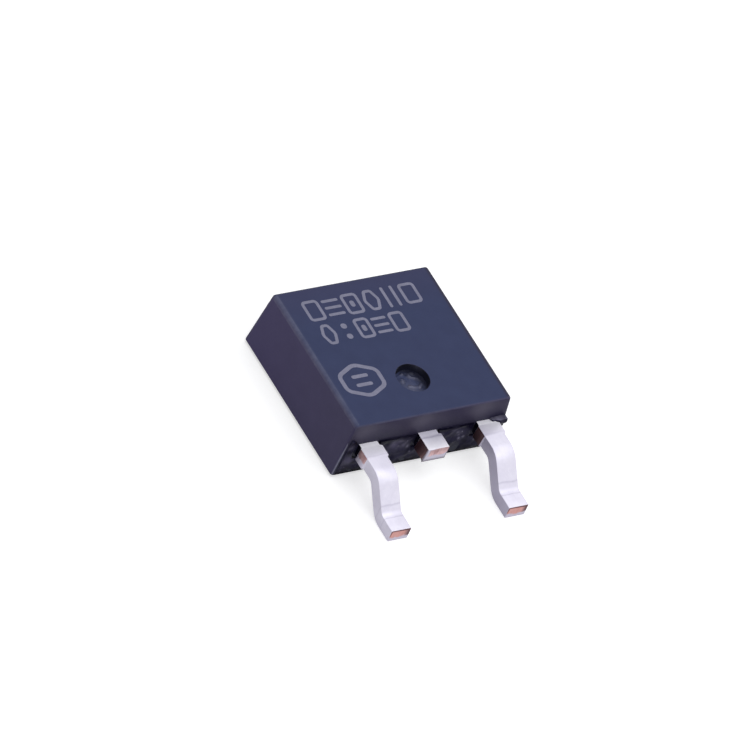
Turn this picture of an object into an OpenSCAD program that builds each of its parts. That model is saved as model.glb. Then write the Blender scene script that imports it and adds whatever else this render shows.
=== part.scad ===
// Surface-mount voltage regulator: a moulded body on a soldered heat tab,
// two gull-wing leads and a short ground stub between them.
// The leads point to -Y, the tab to +Y, and the board is the plane z = 0.

/* [Moulded body] */
// Width of the moulding across its base
body_width = 6.54; // [6.35:0.01:6.73]
// Length of the moulding along its base, lead face to tab face
body_length = 6.08; // [5.97:0.01:6.22]
// Height of the top face above the board
body_height = 2.30; // [2.18:0.01:2.38]
// Gap between the underside of the moulding and the board
body_standoff = 0.10; // [0.04:0.01:0.14]
// Lean of each side face, base to top
side_draft = 0.25; // [0.10:0.01:0.35]
// Lean of the lead face and the tab face, base to top
end_draft = 0.10; // [0.05:0.01:0.20]
// Rounding of the edges round the top face
top_edge_radius = 0.11; // [0.06:0.01:0.20]
// Rounding of the upright corners at the base
corner_radius = 0.09; // [0.05:0.01:0.20]

/* [Ejector recess] */
// Diameter of the round recess in the top face
recess_diameter = 1.18; // [0.80:0.02:1.40]
// Depth of the recess
recess_depth = 0.26; // [0.10:0.01:0.32]
// Distance from the lead face, at its top edge, to the recess centre
recess_setback = 1.53; // [1.00:0.01:2.20]
// Lean of the recess wall, rim to floor
recess_draft = 0.04; // [0.00:0.01:0.08]

/* [Flash ledge] */
// How far the trimmed mould flash stands out of the lead face
flash_reach = 0.09; // [0.04:0.01:0.14]
// Gap left between the flash and the side of a lead
flash_gap = 0.07; // [0.03:0.01:0.12]
// Distance from the flash to the body's side face
flash_inset = 0.08; // [0.04:0.01:0.20]

/* [Leads] */
// Spacing of neighbouring leads
lead_pitch = 2.286; // [2.20:0.01:2.35]
// Thickness of the copper strip that the tab and leads are stamped from
strip_thickness = 0.48; // [0.46:0.01:0.61]
// Width of a lead from its bends to its toe
lead_width = 0.76; // [0.64:0.01:0.80]
// Width of a lead where it leaves the body
neck_width = 0.72; // [0.60:0.01:0.80]
// Width across the sheared stumps of the tie bar
shoulder_width = 0.90; // [0.82:0.01:1.10]
// Distance from the lead face to the shoulder
shoulder_gap = 0.20; // [0.12:0.01:0.26]
// Length of the shoulder along the lead
shoulder_length = 0.42; // [0.30:0.01:0.50]
// Distance from the top face down to the upper surface of the leads
exit_drop = 0.88; // [0.80:0.01:1.00]
// Distance from the lead face, at the base, to the toe of a lead
lead_reach = 2.90; // [2.70:0.01:3.00]
// Length of the flat foot
foot_length = 0.60; // [0.50:0.01:0.75]
// Inside radius of each bend
bend_radius = 0.25; // [0.18:0.01:0.35]
// Slope of the shank between the bends
bend_angle = 47; // [40:1:60]
// Distance from the lead face, at the base, to the cut end of the ground stub
stub_reach = 0.71; // [0.66:0.01:0.90]

/* [Bond posts] */
// Depth of mould between the lead face and the bond post
post_cover = 0.36; // [0.25:0.01:0.45]
// Length of the bond post, towards the tab
post_length = 0.78; // [0.60:0.01:0.90]
// How far the post reaches from the lead's centre line towards the middle
post_inner = 1.05; // [0.80:0.01:1.15]
// How far the post reaches from the lead's centre line towards the side
post_outer = 0.46; // [0.42:0.01:0.52]
// Diameter of the mould lock hole in the post
lock_hole_diameter = 0.34; // [0.20:0.01:0.40]

/* [Heat tab] */
// Width of the tab
tab_width = 4.70; // [4.57:0.01:5.20]
// How far the tab stands out of the body
tab_reach = 0.95; // [0.89:0.01:1.27]
// Size of the chamfer on each rear corner
tab_chamfer = 0.40; // [0.20:0.01:0.60]
// Length of the exposed pad, rear edge of the tab included
pad_length = 5.30; // [5.21:0.01:5.50]
// Reach of the locking lip along each side of the paddle
lip_reach = 0.22; // [0.10:0.01:0.30]
// Thickness of the locking lip
lip_thickness = 0.20; // [0.12:0.01:0.28]
// Radius of the half-round lock notches in the paddle's sides
notch_radius = 0.34; // [0.26:0.01:0.40]
// Spacing of the two lock notches on one side
notch_spacing = 2.20; // [1.60:0.02:2.60]
// Width of the strap from the paddle up to the ground stub
strap_width = 1.10; // [0.80:0.01:1.20]
// Depth of the sealing groove across the paddle
groove_depth = 0.12; // [0.06:0.01:0.18]
// Distance from the tab face of the body to the groove
groove_inset = 0.55; // [0.40:0.01:0.80]

/* [Chip] */
// Side of the chip across the body
die_width = 2.40; // [2.00:0.02:2.80]
// Side of the chip along the body
die_length = 2.00; // [1.60:0.02:2.20]
// Thickness of the chip
die_thickness = 0.25; // [0.18:0.01:0.32]
// Distance from the front edge of the paddle to the chip
die_setback = 0.95; // [0.80:0.01:1.20]
// Thickness of the solder under the chip
solder_thickness = 0.04; // [0.03:0.01:0.06]
// How far the solder spreads past the chip
solder_spread = 0.10; // [0.04:0.01:0.16]

/* [Bond wires] */
// Diameter of a bond wire
wire_diameter = 0.18; // [0.12:0.01:0.22]
// Rise of the loops, from the bond posts to the middle of the wire
loop_rise = 0.41; // [0.36:0.01:0.46]
// Bend radius of the loops
loop_radius = 0.16; // [0.12:0.01:0.20]
// Diameter of the squashed foot of a bond
bond_diameter = 0.30; // [0.24:0.01:0.34]
// Height of the squashed foot of a bond
bond_height = 0.06; // [0.04:0.01:0.08]
// Distance from the chip's edges to the centres of its bonds
bond_inset = 0.34; // [0.26:0.01:0.40]
// Distance from the front edge of the paddle to the ground bond
ground_bond_setback = 0.38; // [0.30:0.01:0.44]

/* [Hidden] */
$fn = 48;
// Overshoot of cutting shapes
cut = 0.1;
// Height of the upright land at the base of the moulding
base_land = 0.02;
// Facets round the rounded corners of the moulding
corner_facets = 32;
// Slope of the sides of the sealing groove
groove_flank = 45;
// Step that blunts the shoulder's corners
shoulder_blunt = 0.04;
// Flat pieces that each bend of the strip is drawn with
bend_steps = 10;
// How far the strap's flat end runs into the paddle, which it is one with
strap_weld = 0.30;

// The part is centred on y = 0 over its whole length
overall_length = lead_reach + body_length + tab_reach;
toe_y = -overall_length / 2;
front_y = toe_y + lead_reach;
rear_y = front_y + body_length;
tab_end_y = rear_y + tab_reach;
paddle_front_y = tab_end_y - pad_length;

draft_height = body_height - body_standoff;
exit_height = body_height - exit_drop;
exit_bottom = exit_height - strip_thickness;
exit_rise = exit_height - body_standoff;
exit_face_y = front_y + end_draft * exit_rise / draft_height;

// One S-bend takes the strip from the exit level down to the board
bend_mid_radius = bend_radius + strip_thickness / 2;
bend_drop = bend_mid_radius * (1 - cos(bend_angle));
bend_run = bend_mid_radius * sin(bend_angle);
shank_drop = exit_bottom - 2 * bend_drop;
shank_length = shank_drop / sin(bend_angle);
s_bend_run = 2 * bend_run + shank_length * cos(bend_angle);
lead_bend_y = toe_y + foot_length + s_bend_run;
strap_bend_y = paddle_front_y - s_bend_run;

post_front_y = front_y + post_cover;
post_rear_y = post_front_y + post_length;

die_front_y = paddle_front_y + die_setback;
solder_top = strip_thickness + solder_thickness;
die_top = solder_top + die_thickness;
loop_z = exit_height + loop_rise;
chip_bond_x = die_width / 2 - bond_inset;
chip_bond_y = die_front_y + bond_inset;
post_bond_x = lead_pitch - post_inner + bond_inset;
post_bond_y = post_rear_y - bond_inset;

// Inset of a corner ball so that a leaning face ends on the wanted edge
function ball_inset(radius, lean) = radius * (1 / cos(lean) - tan(lean));

// Moulded body: base discs and top balls pulled into one drafted shell
module drafted_shell() {
    side_lean = atan(side_draft / draft_height);
    end_lean = atan(end_draft / draft_height);
    top_x = body_width / 2 - side_draft - ball_inset(top_edge_radius, side_lean);
    top_y = body_length / 2 - end_draft - ball_inset(top_edge_radius, end_lean);
    base_x = body_width / 2 - corner_radius;
    base_y = body_length / 2 - corner_radius;
    translate([0, (front_y + rear_y) / 2, 0])
        hull() {
            for (sx = [-1, 1], sy = [-1, 1]) {
                translate([sx * top_x, sy * top_y, body_height - top_edge_radius])
                    sphere(r = top_edge_radius, $fn = corner_facets);
                translate([sx * base_x, sy * base_y, body_standoff])
                    cylinder(r = corner_radius, h = base_land, $fn = corner_facets);
            }
        }
}

// Round recess that the ejector pin leaves, a little narrower at its floor
module ejector_recess() {
    translate([0, front_y + end_draft + recess_setback, body_height - recess_depth])
        cylinder(d1 = recess_diameter - 2 * recess_draft,
                 d2 = recess_diameter, h = recess_depth + cut / 100);
}

// One stretch of flash along the lead face, at the level of the leads
module flash_strip(x_from, x_to) {
    root_y = front_y + end_draft;
    tip_y = exit_face_y - flash_reach;
    translate([x_from, 0, 0])
        rotate([90, 0, 90])
            linear_extrude(height = x_to - x_from)
                polygon([[root_y, exit_bottom], [tip_y, exit_bottom],
                         [tip_y, exit_height - flash_reach / 2],
                         [tip_y + flash_reach / 2, exit_height], [root_y, exit_height]]);
}

module flash_ledge() {
    exit_half_width = body_width / 2 - side_draft * exit_rise / draft_height;
    lead_side = neck_width / 2 + flash_gap;
    for (side = [0, 1])
        mirror([side, 0, 0]) {
            flash_strip(lead_side, lead_pitch - lead_side);
            flash_strip(lead_pitch + lead_side, exit_half_width - flash_inset);
        }
}

module mould_body() {
    color([0.14, 0.14, 0.19])
        difference() {
            union() {
                drafted_shell();
                flash_ledge();
            }
            ejector_recess();
            tab_frame();
            input_lead();
            output_lead();
            die_solder();
            regulator_die();
            input_wire();
            output_wire();
            ground_wire();
        }
}

// Points along an arc in the YZ plane, angles from +Y towards +Z
function arc_points(centre, radius, from, to) =
    [for (i = [0 : bend_steps])
        let (a = from + (to - from) * i / bend_steps)
        [centre[0] + radius * cos(a), centre[1] + radius * sin(a)]];

// Side view of a strip that runs in at exit level, bends down at bend_y and
// ends flat on the board; way = -1 runs towards -Y, way = 1 towards +Y
function s_profile(start_y, bend_y, end_y, way) =
    let (upper = [-way * bend_y, exit_bottom - bend_radius],
         lower = [-way * bend_y - s_bend_run, strip_thickness + bend_radius],
         outer_radius = bend_radius + strip_thickness,
         points = concat(
             [[-way * start_y, exit_height]],
             arc_points(upper, outer_radius, 90, 90 + bend_angle),
             arc_points(lower, bend_radius, bend_angle - 90, -90),
             [[-way * end_y, strip_thickness], [-way * end_y, 0]],
             arc_points(lower, outer_radius, -90, bend_angle - 90),
             arc_points(upper, bend_radius, 90 + bend_angle, 90),
             [[-way * start_y, exit_bottom]]))
    [for (p = points) [-way * p[0], p[1]]];

// A stamped and formed strip: its plan outline cut out of its side view
module formed_strip(outline, profile) {
    intersection() {
        linear_extrude(height = exit_height + cut)
            polygon(outline);
        translate([-body_width / 2, 0, 0])
            rotate([90, 0, 90])
                linear_extrude(height = body_width)
                    polygon(profile);
    }
}

// Closes an outline that is given by its +X side
function both_sides(half) =
    concat(half, [for (i = [len(half) - 1 : -1 : 0]) [-half[i][0], half[i][1]]]);

// +X side of a strip from the sheared shoulder to where it enters the body
function shoulder_outline(cut_y) = [
    [shoulder_width / 2, cut_y],
    [shoulder_width / 2, exit_face_y - shoulder_gap],
    [neck_width / 2, exit_face_y - shoulder_gap + shoulder_blunt]
];

// Gull-wing lead on x = 0, with its bond post reaching towards -X
module signal_lead() {
    shoulder_end_y = exit_face_y - shoulder_gap - shoulder_length;
    outside = concat([[lead_width / 2, toe_y],
                      [lead_width / 2, shoulder_end_y - shoulder_blunt]],
                     shoulder_outline(shoulder_end_y));
    inside = [[neck_width / 2, post_front_y], [post_outer, post_front_y],
              [post_outer, post_rear_y], [-post_inner, post_rear_y],
              [-post_inner, post_front_y], [-neck_width / 2, post_front_y]];
    other_side = [for (i = [len(outside) - 1 : -1 : 0]) [-outside[i][0], outside[i][1]]];
    difference() {
        formed_strip(concat(outside, inside, other_side),
                     s_profile(post_rear_y, lead_bend_y, toe_y, -1));
        translate([0, post_front_y + post_length / 2, exit_bottom - cut])
            cylinder(d = lock_hole_diameter, h = strip_thickness + 2 * cut);
    }
}

module output_lead() {
    color([0.86, 0.85, 0.90])
        translate([lead_pitch, 0, 0])
            signal_lead();
}

module input_lead() {
    color([0.86, 0.85, 0.90])
        mirror([1, 0, 0])
            translate([lead_pitch, 0, 0])
                signal_lead();
}

// Flat plate of the heat tab and paddle, with locking lips along its sides
module paddle() {
    lip_x = tab_width / 2 + lip_reach;
    lip_end_y = rear_y - groove_inset - groove_depth;
    notch_mid_y = (paddle_front_y + lip_end_y) / 2;
    difference() {
        union() {
            linear_extrude(height = strip_thickness)
                polygon(both_sides([[tab_width / 2, paddle_front_y],
                                    [tab_width / 2, tab_end_y - tab_chamfer],
                                    [tab_width / 2 - tab_chamfer, tab_end_y]]));
            translate([0, 0, strip_thickness - lip_thickness])
                linear_extrude(height = lip_thickness)
                    polygon(both_sides([[lip_x, paddle_front_y], [lip_x, lip_end_y]]));
        }
        for (side = [-1, 1], end = [-1, 1])
            translate([side * lip_x, notch_mid_y + end * notch_spacing / 2, -cut])
                cylinder(r = notch_radius, h = strip_thickness + 2 * cut);
        sealing_groove();
    }
}

// V groove that keeps moisture from creeping along the paddle to the chip
module sealing_groove() {
    groove_y = rear_y - groove_inset;
    mouth = (groove_depth + cut) / tan(groove_flank);
    translate([-tab_width / 2 - cut, 0, 0])
        rotate([90, 0, 90])
            linear_extrude(height = tab_width + 2 * cut)
                polygon([[groove_y, strip_thickness - groove_depth],
                         [groove_y + mouth, strip_thickness + cut],
                         [groove_y - mouth, strip_thickness + cut]]);
}

// Heat tab, paddle and ground lead are one stamping: a strap rises from the
// paddle to exit level and ends outside as the ground stub
module tab_frame() {
    stub_end_y = front_y - stub_reach;
    neck_end_y = (exit_face_y + strap_bend_y) / 2;
    strap_end_y = paddle_front_y + strap_weld;
    color([0.84, 0.83, 0.88])
        union() {
            paddle();
            formed_strip(both_sides(concat(shoulder_outline(stub_end_y),
                                           [[neck_width / 2, neck_end_y],
                                            [strap_width / 2, strap_bend_y],
                                            [strap_width / 2, strap_end_y]])),
                         s_profile(stub_end_y, strap_bend_y, strap_end_y, 1));
        }
}

// Chip and the solder that holds it to the paddle
module regulator_die() {
    color([0.36, 0.38, 0.44])
        translate([-die_width / 2, die_front_y, solder_top])
            cube([die_width, die_length, die_thickness]);
}

module die_solder() {
    color([0.70, 0.70, 0.72])
        translate([-die_width / 2 - solder_spread, die_front_y - solder_spread,
                   strip_thickness])
            cube([die_width + 2 * solder_spread, die_length + 2 * solder_spread,
                  solder_thickness]);
}

// Quarter turn of wire in the XZ plane, from pointing +X at start = 0 round to +Z
module wire_turn(start) {
    rotate([90, 0, 0])
        rotate([0, 0, start])
            rotate_extrude(angle = 90)
                translate([loop_radius, 0])
                    circle(d = wire_diameter, $fn = 24);
}

// Squashed foot of a bond and the wire that rises from it to the loop
module bond_riser(z_seat) {
    translate([0, 0, z_seat]) {
        cylinder(d = bond_diameter, h = bond_height);
        cylinder(d = wire_diameter, h = loop_z - loop_radius - z_seat, $fn = 24);
    }
}

// Wire loop between two seats, each given as [x, y, z]
module bond_wire(first, second) {
    step = second - first;
    span = norm([step[0], step[1]]);
    color([0.80, 0.80, 0.82])
        translate([first[0], first[1], 0])
            rotate([0, 0, atan2(step[1], step[0])]) {
                bond_riser(first[2]);
                translate([span, 0, 0])
                    bond_riser(second[2]);
                translate([loop_radius, 0, loop_z - loop_radius])
                    wire_turn(90);
                translate([span - loop_radius, 0, loop_z - loop_radius])
                    wire_turn(0);
                translate([loop_radius, 0, loop_z])
                    rotate([0, 90, 0])
                        cylinder(d = wire_diameter, h = span - 2 * loop_radius, $fn = 24);
            }
}

module output_wire() {
    bond_wire([post_bond_x, post_bond_y, exit_height], [chip_bond_x, chip_bond_y, die_top]);
}

module input_wire() {
    bond_wire([-post_bond_x, post_bond_y, exit_height], [-chip_bond_x, chip_bond_y, die_top]);
}

module ground_wire() {
    bond_wire([0, paddle_front_y + ground_bond_setback, strip_thickness],
              [0, chip_bond_y, die_top]);
}

mould_body();
tab_frame();
input_lead();
output_lead();
regulator_die();
die_solder();
input_wire();
output_wire();
ground_wire();
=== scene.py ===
import math

import bmesh
import bpy
from mathutils import Euler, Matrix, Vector, noise


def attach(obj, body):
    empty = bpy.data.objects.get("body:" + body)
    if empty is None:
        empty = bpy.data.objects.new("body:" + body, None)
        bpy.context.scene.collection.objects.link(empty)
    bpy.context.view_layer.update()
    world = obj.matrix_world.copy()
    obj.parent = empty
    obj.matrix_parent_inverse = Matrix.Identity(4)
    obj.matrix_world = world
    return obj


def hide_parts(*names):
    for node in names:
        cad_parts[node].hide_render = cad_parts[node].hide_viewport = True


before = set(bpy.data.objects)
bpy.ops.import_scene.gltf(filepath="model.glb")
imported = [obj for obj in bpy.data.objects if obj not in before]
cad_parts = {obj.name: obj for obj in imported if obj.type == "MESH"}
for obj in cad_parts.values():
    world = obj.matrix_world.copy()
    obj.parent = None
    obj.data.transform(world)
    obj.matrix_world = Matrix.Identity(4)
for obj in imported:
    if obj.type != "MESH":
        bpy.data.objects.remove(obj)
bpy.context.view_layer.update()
print("frame loaded")

# Everything is drawn in millimetres, as on a package drawing; finishPiece makes it metres.
millimetre = 0.001

package = {
    "frontY": -2.065,  # lead face of the moulding, at its base
    "rearY": 4.015,  # tab face of the moulding, at its base
    "baseZ": 0.10,  # the moulding stands this far off the board
    "topZ": 2.296,
    "exitZ": 1.42,  # upper surface of the leads where they leave the body
    "exitY": -2.005,  # lead face at that level
    "toeY": -4.965,
    "tabEndY": 4.965,
    "leadPitch": 2.286,
    "strip": 0.48,  # thickness of the copper strip
    "bendRadius": 0.25,  # inside radius of every bend
    "bendAngle": math.radians(47),
}
package["midRadius"] = package["bendRadius"] + package["strip"] / 2


# Small helpers, the way one works by hand in edit mode

def clamped(value):
    return min(1.0, max(0.0, value))


def clearSelection():
    active = bpy.context.view_layer.objects.active
    if active and active.mode != "OBJECT":
        bpy.ops.object.mode_set(mode="OBJECT")
    bpy.ops.object.select_all(action="DESELECT")


def selectOnly(piece):
    clearSelection()
    piece.select_set(True)
    bpy.context.view_layer.objects.active = piece


def startPiece(name, addPrimitive, **settings):
    clearSelection()
    addPrimitive(**settings)
    piece = bpy.context.object
    piece.name = name
    piece.data.name = name
    bpy.ops.object.transform_apply(location=True, rotation=True, scale=True)
    bpy.ops.object.mode_set(mode="EDIT")
    return piece


def startSheet(name, middle, width, length):
    sheet = startPiece(name, bpy.ops.mesh.primitive_plane_add, size=1, location=middle)
    resize((width, length, 1), middle)
    return sheet


def selectAll():
    bpy.ops.mesh.select_all(action="SELECT")


def placeObject(name, data, place):  # for the camera and the light
    item = bpy.data.objects.new(name, data)
    bpy.context.scene.collection.objects.link(item)
    item.location = Vector(place) * millimetre
    return item


def pick(piece, kind, test):
    bpy.ops.mesh.select_mode(type=kind)
    bpy.ops.mesh.select_all(action="DESELECT")
    mesh = bmesh.from_edit_mesh(piece.data)
    group = {"FACE": mesh.faces, "EDGE": mesh.edges, "VERT": mesh.verts}[kind]
    for item in group:
        item.select_set(test(item))
    mesh.select_flush_mode()
    bmesh.update_edit_mesh(piece.data)


def pickFaces(piece, test):  # test(centre, normal)
    pick(piece, "FACE", lambda face: test(face.calc_center_median(), face.normal))


def pickEdges(piece, test):  # test(one end, other end)
    pick(piece, "EDGE", lambda edge: test(edge.verts[0].co, edge.verts[1].co))


def pickPoints(piece, test):  # test(place)
    pick(piece, "VERT", lambda point: test(point.co))


def nudge(piece, shift, test=lambda place: True):
    mesh = bmesh.from_edit_mesh(piece.data)
    moves = [(point, shift(point.co.copy())) for point in mesh.verts if test(point.co)]
    for point, move in moves:
        point.co += Vector(move)
    mesh.normal_update()
    bmesh.update_edit_mesh(piece.data)


def resize(value, centre):
    bpy.ops.transform.resize(value=value, center_override=centre)


def extrudeBy(vector):
    bpy.ops.mesh.extrude_region_move(TRANSFORM_OT_translate={"value": vector})


def bendStrip(angle, centre, steps):  # a positive angle lifts the far end
    bpy.ops.mesh.spin(steps=steps, angle=-angle, center=centre, axis=(1, 0, 0))


def sliceAt(places, normal):
    for place in places:
        selectAll()
        bpy.ops.mesh.bisect(plane_co=place, plane_no=normal)


def sliceFaces(piece, test, places, normal):
    for place in places:
        pickFaces(piece, test)
        bpy.ops.mesh.bisect(plane_co=place, plane_no=normal)


def applyModifier(piece, kind, **settings):
    selectOnly(piece)
    modifier = piece.modifiers.new(kind.title(), kind)
    for key, value in settings.items():
        setattr(modifier, key, value)
    bpy.ops.object.modifier_apply(modifier=modifier.name)


def punch(piece, cutter):
    applyModifier(piece, "BOOLEAN", object=cutter, operation="DIFFERENCE", solver="EXACT")
    bpy.data.objects.remove(cutter)


def editAgain(piece):
    selectOnly(piece)
    bpy.ops.object.mode_set(mode="EDIT")


def finishPiece(piece, node, smoothAngle=35):
    selectOnly(piece)
    piece.scale = (millimetre, millimetre, millimetre)
    bpy.ops.object.transform_apply(location=True, rotation=True, scale=True)
    bpy.ops.object.shade_smooth_by_angle(angle=math.radians(smoothAngle))
    applyModifier(piece, "WEIGHTED_NORMAL", keep_sharp=True, weight=100)
    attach(piece, "root")
    if node:
        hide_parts(node)
    print("finished", piece.name, len(piece.data.polygons), "faces")


# Camera

cameraView = {
    "place": (-189.51, -174.857, 239.384),
    "turn": (44.42887, -18.32427, -29.24753),  # degrees
    "lens": 535.86,
    "shift": (-0.5 / 730, 0.5 / 730),  # half a pixel of the picture
}


def makeCamera():
    lens = bpy.data.cameras.new("productCamera")
    lens.sensor_fit = "HORIZONTAL"
    lens.sensor_width = 36
    lens.lens = cameraView["lens"]
    lens.shift_x, lens.shift_y = cameraView["shift"]
    lens.clip_start = 0.01
    lens.clip_end = 10
    camera = placeObject("productCamera", lens, cameraView["place"])
    camera.rotation_euler = Euler([math.radians(turn) for turn in cameraView["turn"]])
    bpy.context.scene.camera = camera
    print("camera placed")


makeCamera()


# Shader groups shared by the materials; they work in millimetres

def addNode(tree, kind, **settings):
    node = tree.nodes.new(kind)
    for key, value in settings.items():
        setattr(node, key, value)
    return node


def feed(tree, value, socket):  # a number or colour is set, a socket is linked
    if isinstance(value, (int, float, tuple)):
        socket.default_value = value
    else:
        tree.links.new(value, socket)


def feedAll(tree, inputs, values):  # Base_Color stands for the input Base Color
    for label, value in values.items():
        feed(tree, value, inputs[label.replace("_", " ")])


def addMath(tree, operation, first, second, clamp=False):
    node = addNode(tree, "ShaderNodeMath", operation=operation, use_clamp=clamp)
    feed(tree, first, node.inputs[0])
    feed(tree, second, node.inputs[1])
    return node.outputs[0]


def plus(tree, first, second, clamp=False):
    return addMath(tree, "ADD", first, second, clamp)


def times(tree, first, second, clamp=False):
    return addMath(tree, "MULTIPLY", first, second, clamp)


def inverse(tree, value):
    return addMath(tree, "SUBTRACT", 1.0, value)


def between(tree, value, low, high):  # spreads a mask from low to high
    return plus(tree, times(tree, value, high - low), low)


def mixMasks(tree, first, firstShare, second, secondShare):
    return plus(tree, times(tree, first, firstShare), times(tree, second, secondShare))


def addNoise(tree, vector, scale, detail, roughness):
    node = addNode(tree, "ShaderNodeTexNoise")
    feedAll(tree, node.inputs, {"Vector": vector, "Scale": scale, "Detail": detail,
                                "Roughness": roughness})
    return node.outputs["Fac"]


def addRamp(tree, value, low, high):
    node = addNode(tree, "ShaderNodeMapRange", clamp=True)
    feedAll(tree, node.inputs, {"Value": value, "From Min": low, "From Max": high})
    return node.outputs["Result"]


def newGroup(name, inputs, outputs):  # takes a vector and the named inputs, puts out masks
    group = bpy.data.node_groups.new(name, "ShaderNodeTree")
    for label, value in {"Vector": (0, 0, 0), **inputs}.items():
        kind = "NodeSocketVector" if isinstance(value, tuple) else "NodeSocketFloat"
        socket = group.interface.new_socket(name=label, in_out="INPUT", socket_type=kind)
        socket.default_value = value
    for label in outputs:
        group.interface.new_socket(name=label, in_out="OUTPUT", socket_type="NodeSocketFloat")
    given, out = group.nodes.new("NodeGroupInput"), group.nodes.new("NodeGroupOutput")
    return group, given.outputs, out.inputs


def makeMatteGrain():  # eroded tool surface printed into the compound
    group, given, out = newGroup("matteGrain", {"Grain Size": 0.03, "Patch Size": 0.6},
                                 ["Grain", "Patches", "Height"])
    grainScale = addMath(group, "DIVIDE", 1.0, given["Grain Size"])
    patchScale = addMath(group, "DIVIDE", 1.0, given["Patch Size"])
    fine = addNoise(group, given["Vector"], grainScale, 3, 0.65)
    middle = addNoise(group, given["Vector"], times(group, grainScale, 0.31), 2, 0.5)
    broad = addNoise(group, given["Vector"], patchScale, 3, 0.55)
    feed(group, addRamp(group, fine, 0.30, 0.70), out["Grain"])
    feed(group, addRamp(group, broad, 0.33, 0.67), out["Patches"])
    feed(group, mixMasks(group, fine, 0.6, middle, 0.4), out["Height"])
    return group


def makeRubbedEdge():  # worn, lighter edges from a painted attribute, partly painted highlight
    group, given, out = newGroup("rubbedEdge", {"Edge": 0.0, "Chip Size": 0.2}, ["Mask"])
    scale = addMath(group, "DIVIDE", 1.0, given["Chip Size"])
    chips = addRamp(group, addNoise(group, given["Vector"], scale, 4, 0.6), 0.25, 0.65)
    feed(group, times(group, given["Edge"], between(group, chips, 0.3, 1.0), True), out["Mask"])
    return group


def makeFineScratches():  # hair lines drawn along one direction
    group, given, out = newGroup("fineScratches", {"Stretch": (1, 1, 1), "Line Width": 0.03},
                                 ["Lines", "Streaks"])
    stretched = addNode(group, "ShaderNodeVectorMath", operation="MULTIPLY")
    feed(group, given["Vector"], stretched.inputs[0])
    feed(group, given["Stretch"], stretched.inputs[1])
    lines = addNoise(group, stretched.outputs[0], 1.0, 2, 0.5)
    distance = addMath(group, "ABSOLUTE", addMath(group, "SUBTRACT", lines, 0.5), 0.0)
    thin = inverse(group, addRamp(group, distance, 0.0, given["Line Width"]))
    broken = addRamp(group, addNoise(group, given["Vector"], 2.5, 2, 0.5), 0.5, 0.6)
    feed(group, times(group, thin, broken, True), out["Lines"])
    streaks = addNoise(group, stretched.outputs[0], 0.6, 4, 0.6)
    feed(group, addRamp(group, streaks, 0.3, 0.7), out["Streaks"])
    return group


def makePressCrease():  # a soft duller line across the strip
    group, given, out = newGroup("pressCrease", {"Line Y": 0.0, "Half Width": 0.05}, ["Mask"])
    axes = addNode(group, "ShaderNodeSeparateXYZ")
    feed(group, given["Vector"], axes.inputs[0])
    wobble = times(group, addNoise(group, given["Vector"], 3.0, 2, 0.5), 0.1)
    offset = addMath(group, "SUBTRACT", plus(group, axes.outputs["Y"], wobble),
                     plus(group, given["Line Y"], 0.05))
    distance = addMath(group, "ABSOLUTE", offset, 0.0)
    near = inverse(group, addRamp(group, distance, 0.0, given["Half Width"]))
    feed(group, times(group, near, near, True), out["Mask"])
    return group


matteGrain = makeMatteGrain()
rubbedEdge = makeRubbedEdge()
fineScratches = makeFineScratches()
pressCrease = makePressCrease()
print("shader groups ready")


# Materials

def placeGroup(tree, group, vector, **values):
    node = addNode(tree, "ShaderNodeGroup", node_tree=group)
    feedAll(tree, node.inputs, {"Vector": vector, **values})
    return node.outputs


def newMaterial(name, grainSize, patchSize):  # with a grain, which all of them need
    material = bpy.data.materials.new(name)
    material.use_nodes = True
    tree = material.node_tree
    place = addNode(tree, "ShaderNodeTexCoord")
    scaled = addNode(tree, "ShaderNodeMapping")
    feedAll(tree, scaled.inputs, {"Vector": place.outputs["Object"],
                                  "Scale": (1 / millimetre,) * 3})
    vector = scaled.outputs["Vector"]
    grain = placeGroup(tree, matteGrain, vector, Grain_Size=grainSize, Patch_Size=patchSize)
    return material, tree, vector, grain


def finishMaterial(material, height, depth, **values):  # a bump, its depth in millimetres
    tree = material.node_tree
    bump = addNode(tree, "ShaderNodeBump")
    feedAll(tree, bump.inputs, {"Height": height, "Distance": depth * millimetre})
    feedAll(tree, tree.nodes["Principled BSDF"].inputs,
            {"Normal": bump.outputs["Normal"], **values})
    return material


def blend(tree, mask, first, second):  # colours, as tuples or sockets
    node = addNode(tree, "ShaderNodeMix", data_type="RGBA")
    feed(tree, mask, node.inputs[0])
    colourInputs = [socket for socket in node.inputs if socket.type == "RGBA"]
    for socket, value in zip(colourInputs, (first, second)):
        feed(tree, (*value, 1) if isinstance(value, tuple) else value, socket)
    return next(socket for socket in node.outputs if socket.type == "RGBA")


def painted(tree, name):
    return addNode(tree, "ShaderNodeAttribute", attribute_name=name).outputs["Fac"]


def coat(tree, colour, colours, *layers):  # one painted layer of its own colour after another
    for layer in layers:
        colour = blend(tree, painted(tree, layer), colour, colours[layer])
    return colour


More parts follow.
